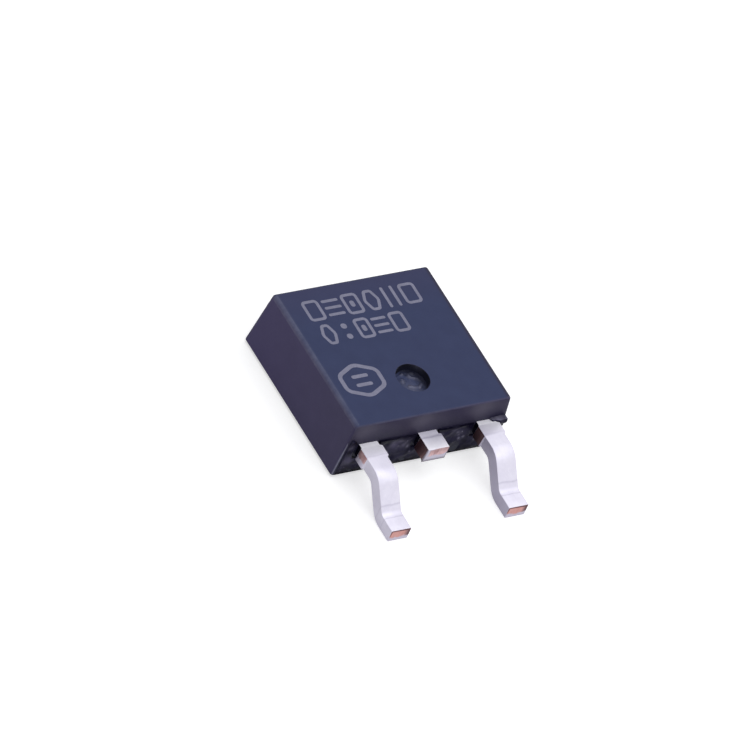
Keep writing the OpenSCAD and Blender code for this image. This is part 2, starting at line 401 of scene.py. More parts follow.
compound = {
    # the top, sides and lead face have their own colours: painted light and shade by which way
    # each faces
    "topDark": (0.024, 0.033, 0.092),
    "topLight": (0.030, 0.041, 0.108),
    "sideDark": (0.030, 0.024, 0.070),
    "sideLight": (0.040, 0.033, 0.088),
    "frontDark": (0.016, 0.011, 0.043),
    "frontLight": (0.115, 0.105, 0.150),
    "topRear": (0.046, 0.036, 0.088),
    "sideRear": (0.058, 0.041, 0.150),
    "wallShade": (0.008, 0.009, 0.024),
    "recessWall": (0.001, 0.001, 0.004),
    "toolMark": (0.135, 0.140, 0.215),
    "recessShade": (0.008, 0.009, 0.024),
    # pale edges and corners: wear and painted highlight
    "edgeWear": (0.150, 0.155, 0.235),
    "cornerRub": (0.27, 0.26, 0.36),
    "chipSize": {"edgeWear": 0.35, "cornerRub": 0.12},
    "grainShare": 0.45,  # the rest of the tone is patches
    "frontTone": 0.12,  # how much of it shows on the lead face
    "grainSize": 0.035,
    "patchSize": 0.55,
    "grainDepth": 0.003,
    "roughness": (0.50, 0.60),
    "specular": 0.22,
}


def makeCompound():
    c = compound
    material, tree, vector, grain = newMaterial("mouldCompound", c["grainSize"], c["patchSize"])
    tone = mixMasks(tree, grain["Grain"], c["grainShare"], grain["Patches"], 1 - c["grainShare"])
    atRear = painted(tree, "rearTint")
    side = blend(tree, atRear, blend(tree, tone, c["sideDark"], c["sideLight"]), c["sideRear"])
    top = blend(tree, atRear, blend(tree, tone, c["topDark"], c["topLight"]), c["topRear"])
    # tone of the lead face, with its painted light
    glow = plus(tree, times(tree, tone, c["frontTone"]), painted(tree, "frontGlow"), True)
    # painted light and shade: the top, sides and lead face each take their own colour
    body = blend(tree, painted(tree, "facesUp"), side, top)
    body = blend(tree, painted(tree, "facesLeads"), body,
                 blend(tree, glow, c["frontDark"], c["frontLight"]))
    body = coat(tree, body, c, "wallShade", "recessWall", "toolMark", "recessShade")
    for layer, size in c["chipSize"].items():
        worn = placeGroup(tree, rubbedEdge, vector, Edge=painted(tree, layer), Chip_Size=size)
        body = blend(tree, worn["Mask"], body, c[layer])
    return finishMaterial(material, grain["Height"], c["grainDepth"], Base_Color=body,
                          Roughness=between(tree, grain["Grain"], *c["roughness"]),
                          Specular_IOR_Level=c["specular"])


brokenEdge = {
    "dark": (0.007, 0.006, 0.022),
    "light": (0.030, 0.027, 0.058),
    "blotch": (0.110, 0.100, 0.165),
    "scuff": (0.20, 0.19, 0.27),
    "crevice": (0.001, 0.0005, 0.0025),
    "lumpSize": 0.28,
    "lumpDepth": 0.002,
    "roughness": (0.35, 0.55),
    "specular": 0.05,
}


def makeBrokenCompound():  # where the flash was snapped off, glassy and dark, its darkness partly painted shade
    c = brokenEdge
    material, tree, vector, grain = newMaterial("brokenCompound", c["lumpSize"] * 0.6,
                                                c["lumpSize"] * 1.3)
    body = coat(tree, blend(tree, grain["Patches"], c["dark"], c["light"]), c, "blotch")
    chips = addRamp(tree, addNoise(tree, vector, 2.2 / c["lumpSize"], 2, 0.5), 0.68, 0.78)
    body = blend(tree, plus(tree, chips, painted(tree, "scuffed"), True), body, c["scuff"])
    return finishMaterial(material, grain["Height"], c["lumpDepth"],
                          Base_Color=coat(tree, body, c, "crevice"),
                          Roughness=between(tree, grain["Patches"], *c["roughness"]),
                          Specular_IOR_Level=c["specular"])


markInk = {
    "dull": (0.19, 0.19, 0.27),
    "bright": (0.28, 0.28, 0.39),
    "dotSize": 0.035,
    "patchSize": 0.3,
    "dotDepth": 0.004,
    "roughness": 0.75,
    "specular": 0.3,
}


def makeMarkMaterial():  # compound burnt pale by a marking laser
    c = markInk
    material, tree, _, grain = newMaterial("burntMark", c["dotSize"], c["patchSize"])
    tone = times(tree, grain["Grain"], between(tree, grain["Patches"], 0.4, 1.0))
    return finishMaterial(material, grain["Height"], c["dotDepth"],
                          Base_Color=blend(tree, tone, c["dull"], c["bright"]),
                          Roughness=c["roughness"], Specular_IOR_Level=c["specular"])


tin = {
    "bright": (0.86, 0.83, 0.95),
    "dull": (0.58, 0.55, 0.68),
    # painted light: brighter tin next to the body on the leads and towards the stub's end
    "nearBody": (0.95, 0.93, 1.0),
    "cutSide": (0.44, 0.41, 0.53),  # edges of the strip, plated over the punched cut, with painted shade
    "metallic": 0.35,  # matte tin scatters part of the light
    "roughness": (0.46, 0.58),
    "grainSize": 0.06,
    "patchSize": 0.5,
    "grainDepth": 0.0025,
    "patches": 0.22,  # how strongly each kind of wear dulls the tin
    "streaks": 0.12,
    "hairLines": 0.2,
    "cleanNearBody": 0.8,  # painted light: next to the body the leads keep less of their dulling and metallic share
    # y, half width and depth of the lines across the leads
    "leadCreases": [(-2.57, 0.05, 0.45), (-4.06, 0.05, 0.55), (-4.42, 0.045, 0.6)],
    "stubCrease": (-2.25, 0.09, 1.0),
}


def makeTinPlate():
    c = tin
    material, tree, vector, grain = newMaterial("tinPlate", c["grainSize"], c["patchSize"])
    marks = placeGroup(tree, fineScratches, vector, Stretch=(14, 2, 14), Line_Width=0.02)
    tone = mixMasks(tree, grain["Patches"], c["patches"], marks["Streaks"], c["streaks"])
    onStub = painted(tree, "stub")
    onLeads = inverse(tree, onStub)
    creases = [(onLeads, *crease) for crease in c["leadCreases"]] + [(onStub, *c["stubCrease"])]
    for where, lineY, halfWidth, depth in creases:
        line = placeGroup(tree, pressCrease, vector, Line_Y=lineY, Half_Width=halfWidth)
        tone = plus(tree, tone, times(tree, line["Mask"], times(tree, where, depth)), True)
    tone = plus(tree, tone, times(tree, marks["Lines"], c["hairLines"]), True)
    # painted light on the tin
    nearBody = painted(tree, "nearBody")
    handled = inverse(tree, times(tree, times(tree, nearBody, onLeads), c["cleanNearBody"]))
    plated = blend(tree, times(tree, tone, handled, True),
                   blend(tree, nearBody, c["bright"], c["nearBody"]), c["dull"])
    return finishMaterial(material, grain["Height"], c["grainDepth"],
                          Base_Color=coat(tree, plated, c, "cutSide"),
                          Roughness=between(tree, grain["Patches"], *c["roughness"]),
                          Metallic=times(tree, handled, c["metallic"]))


copper = {
    "bright": (0.72, 0.49, 0.50),
    "dark": (0.37, 0.20, 0.21),
    "freshCut": (0.78, 0.36, 0.31),
    # tarnish, and painted shade on the sheared shoulders
    "tarnish": (0.10, 0.038, 0.046),
    "tinSmear": (0.50, 0.47, 0.57),
    "deepShade": (0.030, 0.018, 0.026),
    "smearEdge": (0.45, 0.60),
    "smearUneven": 0.3,
    "grainSize": 0.05,
    "patchSize": 0.22,
    "streakDepth": 0.006,
    "roughness": (0.32, 0.52),
    "metallic": 0.85,
}


def makeShearedCopper():  # bare copper where the strip was cut after plating
    c = copper
    material, tree, vector, grain = newMaterial("shearedCopper", c["grainSize"], c["patchSize"])
    streaks = placeGroup(tree, fineScratches, vector, Stretch=(16, 16, 2.5))["Streaks"]
    tone = times(tree, streaks, plus(tree, grain["Patches"], 0.3), True)
    metal = coat(tree, blend(tree, tone, c["bright"], c["dark"]), c, "freshCut", "tarnish")
    uneven = times(tree, addMath(tree, "SUBTRACT", grain["Patches"], 0.5), c["smearUneven"])
    smear = addRamp(tree, plus(tree, painted(tree, "tinSmear"), uneven), *c["smearEdge"])
    metal = coat(tree, blend(tree, smear, metal, c["tinSmear"]), c, "deepShade")
    return finishMaterial(material, streaks, c["streakDepth"], Base_Color=metal,
                          Roughness=between(tree, streaks, *c["roughness"]),
                          Metallic=c["metallic"])


innerMetals = {  # bright and dull colour, roughness, metallic, grain size
    "chipSilicon": ((0.20, 0.22, 0.27), (0.09, 0.10, 0.14), 0.25, 0.3, 0.05),
    "softSolder": ((0.62, 0.62, 0.64), (0.40, 0.40, 0.43), 0.45, 1, 0.04),
    "bondAluminium": ((0.88, 0.88, 0.90), (0.66, 0.66, 0.69), 0.3, 1, 0.03),
}


def makeInnerMetal(name):
    bright, dull, roughness, metallic, grainSize = innerMetals[name]
    material, tree, _, grain = newMaterial(name, grainSize, grainSize * 7)
    tone = times(tree, grain["Patches"], plus(tree, grain["Grain"], 0.4), True)
    return finishMaterial(material, grain["Height"], 0.002, Metallic=metallic,
                          Base_Color=blend(tree, tone, bright, dull),
                          Roughness=between(tree, grain["Grain"], roughness - 0.07,
                                            roughness + 0.08))


mouldCompound = makeCompound()
brokenCompound = makeBrokenCompound()
burntMark = makeMarkMaterial()
tinPlate = makeTinPlate()
shearedCopper = makeShearedCopper()
chipSilicon = makeInnerMetal("chipSilicon")
softSolder = makeInnerMetal("softSolder")
bondAluminium = makeInnerMetal("bondAluminium")
print("materials ready")


def paint(piece, *materials):
    piece.data.materials.clear()
    for material in materials:
        piece.data.materials.append(material)


def paintPoints(piece, **layers):  # each is strength(place, normal) at a point, 0 to 1
    for name, strength in layers.items():
        layer = piece.data.attributes.new(name, "FLOAT", "POINT")
        for index, point in enumerate(piece.data.vertices):
            layer.data[index].value = clamped(strength(point.co, point.normal))


# Moulding

moulding = {
    "baseWidth": 6.54,
    "baseLength": 6.08,
    "topWidth": 6.04,
    "topLength": 5.88,
    "edgeRadius": 0.11,
    "edgeSteps": 6,
    "baseEdge": 0.03,
    "recessY": -0.435,  # ejector pin recess
    "recessRadius": 0.59,
    "recessDraft": 0.03,
    "recessDepth": 0.26,
    "recessSides": 96,
    "recessRim": 0.014,
    "floorInset": 0.02,
    "floorMargin": 0.05,
    "floorRough": 0.016,
    # raised tool marks on the recess floor: x, y, length, turn in degrees
    "toolMarks": [(-0.14, 0.38, 0.05, 20), (0.24, 0.36, 0.04, 0), (0.07, 0.28, 0.12, 75),
                  (0.15, 0.17, 0.12, -35), (0.28, 0.12, 0.10, -15), (0.27, -0.22, 0.18, 43),
                  (-0.04, -0.20, 0.20, -25), (-0.26, 0.10, 0.12, 60)],
    "toolMarkHeight": 0.034,
    "toolMarkWidth": 0.062,
    "floorGlow": (-0.10, -0.26, 0.30, 0.45),  # x, y, radius and strength of its painted pool of light
    "shadeFrom": 0.22,  # fraction of the radius where the floor turns dark
    "shadeSoftness": 0.474,
    "shadeTowards": [(0.60, 0.80), (0.95, 0.31)],
    "faceSlices": (0.2, 14),  # spacing across the lead face, and how many each way
    "faceLevels": (0.5, 0.9, 1.2, 1.4, 1.55, 1.7, 1.85, 2.0),
    "wornBand": (0.14, 0.20),  # distances in from the sides of the top
    "wornSideDepth": 0.15,  # and down from the top on the sides
    "wornEdge": 0.52,  # strength along the input side's top edge
    "wornTop": 0.35,  # and on the flat beside it
    "wornBelow": 1.2,  # the corners are pale below this height, rubbed and painted highlight
    "wornCorner": 3.6,
    "rubbed": (0.9, 1.45),  # strength, and the height it reaches
    "rearBand": (2.2, 3.3, 3.75),  # painted light: the top turns violet towards the tab
    "rearFade": 5.0,
    "rightFade": 0.12,
    "overLeadsShade": 0.55,
    "farEdgeShade": 0.7,
    "rearCornerShade": 0.45,
    "topRightShade": (0.55, 0.09),  # strength, and how far in it fades
    # painted light over the leads: strength, height, shift and size
    "glow": 0.50,
    "glowZ": 2.0,
    "glowShift": 0.36,
    "glowSize": (0.50, 0.45),
}
leadAxes = (-package["leadPitch"], 0, package["leadPitch"])
recessCentre = Vector((0, moulding["recessY"], 0))
recessFloorZ = package["topZ"] - moulding["recessDepth"]


def fromRecess(place):
    return (place - recessCentre).xy


def isTop(centre, normal):
    return normal.z > 0.9


def makeMouldBody():
    m = moulding
    midY = (package["frontY"] + package["rearY"]) / 2
    height = package["topZ"] - package["baseZ"]
    body = startPiece("mouldBody", bpy.ops.mesh.primitive_cube_add, size=1,
                      location=(0, midY, package["baseZ"] + height / 2),
                      scale=(m["baseWidth"], m["baseLength"], height))
    pickFaces(body, isTop)
    resize((m["topWidth"] / m["baseWidth"], m["topLength"] / m["baseLength"], 1),
           (0, midY, package["topZ"]))
    low = package["baseZ"] + 0.01
    pickEdges(body, lambda a, b: max(a.z, b.z) > low)
    bpy.ops.mesh.bevel(offset=m["edgeRadius"], segments=m["edgeSteps"], affect="EDGES")
    pickEdges(body, lambda a, b: max(a.z, b.z) < low)
    bpy.ops.mesh.bevel(offset=m["baseEdge"], segments=3, affect="EDGES")
    sliceForPaint(body)
    cutRecess(body)
    roughenRecessFloor(body)
    clearSelection()
    # facesUp and facesLeads pick out each face's painted light and shade
    paintPoints(body, facesUp=lambda place, normal: (normal.z - 0.35) / 0.6,
                facesLeads=lambda place, normal: (-normal.y - 0.5) / 0.4,
                frontGlow=frontGlow, wallShade=wallShade, toolMark=toolMark,
                recessWall=recessWall, recessShade=recessShade, rearTint=rearTint,
                edgeWear=edgeWear, cornerRub=cornerRub)
    paint(body, mouldCompound)
    finishPiece(body, "mould_body")


def sliceForPaint(body):  # extra points on the long faces, to carry the painted wear, light and shade
    m = moulding
    spacing, count = m["faceSlices"]
    sliceFaces(body, lambda centre, normal: normal.y < -0.9,
               [(index * spacing, 0, 0) for index in range(-count, count + 1)], (1, 0, 0))
    sliceFaces(body, lambda centre, normal: normal.y < -0.1,
               [(0, 0, z) for z in m["faceLevels"]], (0, 0, 1))
    sliceFaces(body, isTop, [(side * (m["topWidth"] / 2 - inset), 0, 0)
                             for inset in m["wornBand"] for side in (-1, 1)], (1, 0, 0))
    sliceFaces(body, lambda centre, normal: abs(normal.x) > 0.9,
               [(0, 0, package["topZ"] - m["wornSideDepth"])], (0, 0, 1))
    sliceFaces(body, isTop, [(0, y, 0) for y in m["rearBand"]], (0, 1, 0))


def toolMark(place, normal):  # painted highlight on the raised marks and a painted pool of light on the floor of the recess
    m = moulding
    local = fromRecess(place)
    floorRadius = m["recessRadius"] - m["recessDraft"] - 0.015
    if local.length > floorRadius or place.z > recessFloorZ + 0.15:
        return 0.0
    x, y, radius, strength = m["floorGlow"]
    glow = strength * math.exp(-((local.x - x) ** 2 + (local.y - y) ** 2) / radius ** 2)
    return glow + max(0.0, place.z - recessFloorZ - 0.006) / 0.045


def recessWall(place, normal):  # painted shade on the recess wall: nearly black, but not on the lead side
    m = moulding
    outward = fromRecess(place).length
    onWall = m["recessRadius"] - m["recessDraft"] - 0.012 < outward < m["recessRadius"] - 0.001
    return onWall and place.y > m["recessY"] - 0.35 and place.z > recessFloorZ - 0.01


def recessShade(place, normal):  # the far side of the pin recess lies in its own shade
    m = moulding
    local = fromRecess(place)
    if local.length > m["recessRadius"] or place.z > package["topZ"] - 0.05:
        return 0.0
    across = max(local.dot(Vector(away)) for away in m["shadeTowards"])
    return (across / m["recessRadius"] - m["shadeFrom"]) / m["shadeSoftness"]


def rearTint(place, normal):  # painted light: violet towards the tab and along the right top edge
    m = moulding
    fromBand = place.x - m["topWidth"] / 2 + max(m["wornBand"])
    return max((place.y - min(m["rearBand"])) / m["rearFade"],
               (normal.z > 0.3) * fromBand / m["rightFade"])


def edgeWear(place, normal):  # wear and painted highlight: strongest along the top edges, faint up the corners
    m = moulding
    bevelled = 0.97 - max(abs(normal.x), abs(normal.y), abs(normal.z))
    if place.z > package["topZ"] - m["wornSideDepth"] + 0.01:
        fromSide = m["topWidth"] / 2 - abs(place.x)
        if place.x > 0 and normal.y > -0.2:
            return 0.0
        if fromSide < m["edgeRadius"] + 0.01 and abs(normal.y) < 0.5:
            return (m["wornEdge"] + bevelled * 0.4) * (1 - 1.4 * abs(normal.y))
        band = m["wornTop"] * (1 - fromSide / max(m["wornBand"])) if normal.z > 0.99 else 0.0
        return max(band, bevelled * (1.2 if normal.y < -0.2 else 2.0))
    atCorner = math.hypot(place.x, place.y) > 2.5
    return m["wornCorner"] * bevelled * (atCorner and place.z < m["wornBelow"])


def cornerRub(place, normal):  # wear and painted highlight on the lead face's upright corners
    onCorner = place.y < 0 and min(abs(normal.x), -normal.y) > 0.6
    strength, reach = moulding["rubbed"]
    return strength * (onCorner and place.z < reach)


def wallShade(place, normal):  # over the leads, and along the far top edges
    m = moulding
    if -normal.y > 0.7:
        low = max(0.0, 1 - (place.z - package["exitZ"]) / 0.5)
        return m["overLeadsShade"] * low * (1 - 1.4 * frontGlow(place, normal))
    if normal.z > 0.9 and place.z > package["topZ"] - 0.02:
        strength, fade = m["topRightShade"]
        return strength * (place.x - m["topWidth"] / 2 + max(m["wornBand"])) / fade
    if normal.z > 0.25 and max(normal.x, normal.y) > 0.2:
        return m["farEdgeShade"]
    return m["rearCornerShade"] * (normal.y > 0.25 and abs(normal.x) > 0.25)


def frontGlow(place, normal):  # painted light: soft pale patches over each lead
    m = moulding
    if place.z < package["exitZ"] - 0.2:
        return 0.0
    width, height = m["glowSize"]
    across = max(math.exp(-((place.x - axis + m["glowShift"]) / width) ** 2)
                 for axis in leadAxes)
    return m["glow"] * across * math.exp(-((place.z - m["glowZ"]) / height) ** 2)


def cutRecess(body):
    m = moulding
    above = 0.1
    lean = m["recessDraft"] / m["recessDepth"]
    cutter = startPiece("recessCutter", bpy.ops.mesh.primitive_cone_add,
                        vertices=m["recessSides"],
                        radius1=m["recessRadius"] - m["recessDraft"],
                        radius2=m["recessRadius"] + lean * above,
                        depth=m["recessDepth"] + above,
                        location=(0, m["recessY"], recessFloorZ + (m["recessDepth"] + above) / 2))
    punch(body, cutter)
    editAgain(body)
    rimZ = package["topZ"] - 0.001
    pickEdges(body, lambda a, b: min(a.z, b.z) > rimZ and all(
        abs(fromRecess(end).length - m["recessRadius"]) < 0.002 for end in (a, b)))
    bpy.ops.mesh.bevel(offset=m["recessRim"], segments=3, affect="EDGES")


def roughenRecessFloor(body):
    m = moulding
    pickFaces(body, lambda place, normal: normal.z > 0.9 and abs(place.z - recessFloorZ) < 0.01)
    bpy.ops.mesh.inset(thickness=m["floorInset"])
    bpy.ops.mesh.delete(type="FACE")
    edgeRadius = m["recessRadius"] - m["recessDraft"] - m["floorInset"]
    pickEdges(body, lambda a, b: all(
        abs(end.z - recessFloorZ) < 0.01 and fromRecess(end).length < edgeRadius + 0.004
        for end in (a, b)))
    bpy.ops.mesh.fill_grid(span=m["recessSides"] // 4)
    bpy.ops.mesh.subdivide(number_cuts=2)

    def lift(place):
        local = fromRecess(place)
        fade = clamped((edgeRadius - local.length) / m["floorMargin"])
        rise = m["floorRough"] * noise.fractal(Vector((local.x, local.y, 0)) * 6, 0.6, 2.2, 4)
        for x, y, length, turn in m["toolMarks"]:
            along = Vector((math.cos(math.radians(turn)), math.sin(math.radians(turn))))
            offset = local - Vector((x, y))
            past = max(0.0, abs(offset.dot(along)) - length / 2)
            across = math.hypot(past, offset.dot(Vector((-along.y, along.x))))
            rise += m["toolMarkHeight"] * math.exp(-(across / m["toolMarkWidth"]) ** 2)
        return 0, 0, fade * rise

    nudge(body, lift, lambda place: abs(place.z - recessFloorZ) < 0.001
          and fromRecess(place).length < edgeRadius - 0.001)


makeMouldBody()


# Broken flash along the lead face

flash = {
    "halfWidth": 2.97,
    "endWidth": 0.37,  # this much at each end follows the leaning corner
    "cornerGap": 0.12,  # left bare at each upright corner of the moulding
    "rootY": -1.95,
    "faceY": -2.07,
    "bottomZ": 0.125,
    "topZ": 1.40,
    "cornerRise": 0.28,  # the break climbs at the input lead's corner
    "riseWidth": 0.30,
    "step": 0.035,
    "lump": 0.05,
    "chip": 0.005,
    "softStep": 0.12,  # part of the height over which a shape fades in
    "pitWidth": 0.47,  # half width of the hole left round each lead
    "pitBottom": 0.86,
    "ledgeX": 2.40,  # a shelf of flash beside the output lead
    "ledgeReach": 0.14,
    "ledgeRise": 0.10,
    "ledgeScuff": (0.62, 0.70, 9),  # strength, unevenness and how fine
    "upperShade": (0.5, 0.16),  # strength, and how far down it fades
    "lowerFade": 0.30,
    "rootShade": 0.6,
    # x, z, radius and strength of the paler places
    "blotches": [(-1.20, 1.10, 0.17, 0.75), (-1.00, 1.24, 0.13, 0.75), (-0.78, 1.02, 0.14, 0.65),
                 (-0.60, 0.92, 0.10, 0.60), (-2.95, 1.36, 0.10, 1.0), (1.15, 1.22, 0.12, 0.35),
                 (1.42, 1.05, 0.13, 0.40), (-2.86, 0.78, 0.22, 0.85), (-1.24, 1.24, 0.12, 0.70)],
    # the same for places in deep shade
    "hollows": [(-2.82, 1.60, 0.12, 0.9), (-2.96, 1.15, 0.08, 0.8), (-2.66, 1.05, 0.10, 0.9),
                (-2.62, 0.62, 0.09, 0.7), (-1.52, 1.30, 0.12, 0.7), (0.80, 0.80, 0.14, 0.6),
                (1.05, 0.45, 0.18, 0.6), (1.75, 0.60, 0.12, 0.6), (0.95, 1.20, 0.07, 0.6)],
    "scuffs": [(0.63, 1.17, 0.06, 0.6), (1.29, 1.12, 0.05, 0.55), (1.40, 0.95, 0.035, 0.55),
               (1.44, 0.80, 0.05, 0.8), (1.60, 0.84, 0.05, 0.8), (-0.60, 0.90, 0.045, 0.6),
               (-0.20, 0.78, 0.05, 0.6), (-0.46, 0.66, 0.035, 0.6), (-1.00, 1.02, 0.04, 0.4)],
}


def nearLead(place, reach, bottom):
    gap = min(abs(place.x - axis) for axis in leadAxes)
    return clamped((reach - gap) / 0.05) * (place.z >= bottom)


def spots(places, place):
    return max(strength * math.exp(-(((place.x - x) ** 2 + (place.z - z) ** 2) / radius ** 2))
               for x, z, radius, strength in places)


def breakOff(place):  # how far each point of the plain ledge moves
    f, m = flash, moulding
    spot = Vector((place.x * 1.7 + 3, 0, place.z * 2.4))
    high = (place.z - f["bottomZ"]) / (f["topZ"] - f["bottomZ"])
    lumps = f["lump"] * noise.fractal(spot, 1.0, 2.1, 2)
    chips = f["chip"] * noise.fractal(spot * 3, 0.8, 2.2, 2)
    shelf = clamped((place.x - f["ledgeX"]) / 0.08)
    moveY = 0.0
    if place.y < f["faceY"] + 0.01:
        moveY = min(1.0, high / f["softStep"]) * (lumps + chips)
        pastLead = clamped((place.x - f["ledgeX"] - 0.20) / 0.14)
        reach = f["ledgeReach"] * (0.35 + 0.65 * pastLead) + 3 * chips
        moveY -= shelf * reach * clamped((high - 0.80) / f["softStep"])
        pit = nearLead(place, f["pitWidth"], f["pitBottom"]) * (1 - shelf)
        moveY += pit * (f["rootY"] - f["faceY"] - 0.02 - moveY)
    edge = max(0.0, high - 0.85) / 0.15
    moveZ = edge * (1.2 * chips + 0.3 * lumps + shelf * (f["ledgeRise"] + 3 * chips))
    endX = f["halfWidth"] - f["endWidth"]
    moveZ += high * f["cornerRise"] * clamped((-place.x - endX) / f["riseWidth"])
    lean = (m["baseWidth"] - m["topWidth"]) / 2 / (package["topZ"] - package["baseZ"])
    cornerX = m["baseWidth"] / 2 - lean * (place.z - package["baseZ"]) - f["cornerGap"]
    toCorner = max(0.0, (abs(place.x) - endX) / f["endWidth"])
    moveX = math.copysign(toCorner * (cornerX + 0.03 * shelf * high - f["halfWidth"]), place.x)
    return moveX, moveY, moveZ


def crevice(place, normal):  # painted shade: the deepest and lowest places are nearly black
    f = flash
    onLedge = place.x > f["ledgeX"]
    pit = nearLead(place, f["pitWidth"] + 0.03, f["pitBottom"] - 0.03)
    pit *= not onLedge or place.z < f["topZ"] - 0.1
    strength, fade = f["upperShade"]
    upper = strength * (1 - abs(place.z - f["topZ"]) / fade) * (not onLedge)
    lower = 1 - (place.z - f["bottomZ"]) / f["lowerFade"]
    root = f["rootShade"] * (onLedge and place.y > f["rootY"] - 0.03)
    return max(pit, upper, lower, root, spots(f["hollows"], place))


def scuffed(place, normal):  # pale scuffs, and painted light on the up-facing shelf beside the output lead
    f = flash
    strength, uneven, fine = f["ledgeScuff"]
    onShelf = place.x > f["ledgeX"] and normal.z > 0.4 and place.z > f["topZ"] - 0.1
    rough = noise.noise(Vector((place.x * fine, place.y * fine, 0)))
    return max(onShelf * (strength + uneven * rough), spots(f["scuffs"], place))


def makeMouldFlash():
    f = flash
    middle = (0, (f["rootY"] + f["faceY"]) / 2, (f["bottomZ"] + f["topZ"]) / 2)
    ledge = startPiece("mouldFlash", bpy.ops.mesh.primitive_cube_add, size=1, location=middle,
                       scale=(f["halfWidth"] * 2, f["rootY"] - f["faceY"],
                              f["topZ"] - f["bottomZ"]))
    across = int(f["halfWidth"] * 2 / f["step"])
    upwards = int((f["topZ"] - f["bottomZ"]) / f["step"])
    sliceAt([(-f["halfWidth"] + f["step"] * i, 0, 0) for i in range(1, across + 1)], (1, 0, 0))
    sliceAt([(0, 0, f["bottomZ"] + f["step"] * i) for i in range(1, upwards + 1)], (0, 0, 1))
    nudge(ledge, breakOff)
    clearSelection()
    paintPoints(ledge, crevice=crevice, scuffed=scuffed,
                blotch=lambda place, normal: spots(f["blotches"], place))
    paint(ledge, brokenCompound)
    finishPiece(ledge, "mould_body", 60)


makeMouldFlash()


# Stamped and formed copper strip

leadShape = {
    "width": 0.76,
    "neckWidth": 0.72,
    "shoulderWidth": 0.90,
    "shoulderGap": 0.20,
    "shoulderLength": 0.42,
    "blunt": 0.04,
    "footLength": 0.60,
    "postFrontY": -1.705,
    "postLength": 0.78,
    "postInner": 1.05,
    "postOuter": 0.46,
    "lockHole": 0.17,  # resin runs through it and holds the post
    "cornerRound": 0.035,
    "bendSteps": 16,
    "rollIn": 0.09,  # how far the punch draws in the upper left edge
    "dullSide": {-1: 0.30, 1: 1.0},  # by side, -1 is the input lead; the output lead's sides take more painted shade
    # tarnish and painted shade on the sheared shoulders, stronger on the output lead
    "shoulderTarnish": {-1: 0.52, 1: 0.9},
    "smearFrom": {-1: 0.22, 1: 0.8},  # share of the strip's height that stays copper
    "deepShade": {-1: 0.0, 1: 0.55},
    "toeSmear": (0.95, 1.1),  # at the board, and how much of it is gone at the top
    "toeFresh": (0.7, 0.2),  # on the left and right part of the cut
    "toeTarnish": 0.28,
    "rimTarnish": 1.0,
    "rimWidth": 0.10,
}
exitMid = package["exitZ"] - package["strip"] / 2
halfStrip = package["strip"] / 2
bendDrop = package["midRadius"] * (1 - math.cos(package["bendAngle"]))
bendRun = package["midRadius"] * math.sin(package["bendAngle"])
shankRise = exitMid - halfStrip - 2 * bendDrop
shankRun = shankRise / math.tan(package["bendAngle"])
shoulderY = package["exitY"] - leadShape["shoulderGap"]
shoulderEndY = shoulderY - leadShape["shoulderLength"]


def walkStrip(middleX, hereY, hereWidth, stations):
    for toY, toWidth in stations:
        extrudeBy((0, toY - hereY, 0))
        resize((toWidth / hereWidth, 1, 1), (middleX, toY, exitMid))
        hereY, hereWidth = toY, toWidth


def formDownset(axisX, startY, along, steps):  # from board level up to the exit level
    angle, radius = along * package["bendAngle"], package["midRadius"]
    bendStrip(angle, (axisX, startY, halfStrip + radius), steps)
    extrudeBy((0, along * shankRun, shankRise))
    # the far end turns back to level about a centre below the strip
    upperY = startY + along * (2 * bendRun + shankRun)
    bendStrip(-angle, (axisX, upperY, exitMid - radius), steps)
    return upperY


def thickenStrip(piece):
    selectAll()
    bpy.ops.mesh.remove_doubles(threshold=0.0005)
    bpy.ops.mesh.normals_make_consistent(inside=False)
    applyModifier(piece, "SOLIDIFY", thickness=package["strip"], offset=0, use_even_offset=True)


def roundEdges(piece, cornerRound):
    applyModifier(piece, "BEVEL", width=cornerRound, segments=3, limit_method="ANGLE",
                  angle_limit=math.radians(40))


def punchRound(piece, place, radius):
    punch(piece, startPiece("punch", bpy.ops.mesh.primitive_cylinder_add, vertices=40,
                            radius=radius, depth=package["strip"] * 2, location=place))


def makeLead(name, node, side):
    p, s = package, leadShape
    axisX = side * p["leadPitch"]
    footEndY = p["toeY"] + s["footLength"]
    lead = startSheet(name, (axisX, p["toeY"] + s["footLength"] / 2, halfStrip), s["width"],
                      s["footLength"])
    pickEdges(lead, lambda a, b: min(a.y, b.y) > footEndY - 0.01)
    upperY = formDownset(axisX, footEndY, 1, s["bendSteps"])
    walkStrip(axisX, upperY, s["width"], [
        (shoulderEndY - s["blunt"], s["width"]), (shoulderEndY, s["shoulderWidth"]),
        (shoulderY, s["shoulderWidth"]), (shoulderY + s["blunt"], s["neckWidth"]),
        (s["postFrontY"], s["neckWidth"])])
    postWidth = s["postInner"] + s["postOuter"]
    postMidX = side * (p["leadPitch"] - (s["postInner"] - s["postOuter"]) / 2)
    extrudeBy((postMidX - axisX, 0.02, 0))
    resize((postWidth / s["neckWidth"], 1, 1), (postMidX, s["postFrontY"], exitMid))
    extrudeBy((0, s["postLength"], 0))
    thickenStrip(lead)
    punchRound(lead, (axisX, s["postFrontY"] + s["postLength"] / 2, exitMid), s["lockHole"])
    roundEdges(lead, s["cornerRound"])
    editAgain(lead)
    rollShoulder(lead, shoulderEndY, axisX, s["width"] / 2)
    rimEnd(lead, p["toeY"])
    clearSelection()
    paintLead(lead, axisX, side)
    finishPiece(lead, node)


def rimEnd(piece, endY):  # rings of points on the cut end, for its paint
    pickFaces(piece, lambda centre, normal: normal.y < -0.99 and abs(centre.y - endY) < 0.01)
    bpy.ops.mesh.inset(thickness=0.05)
    bpy.ops.mesh.subdivide(number_cuts=3)


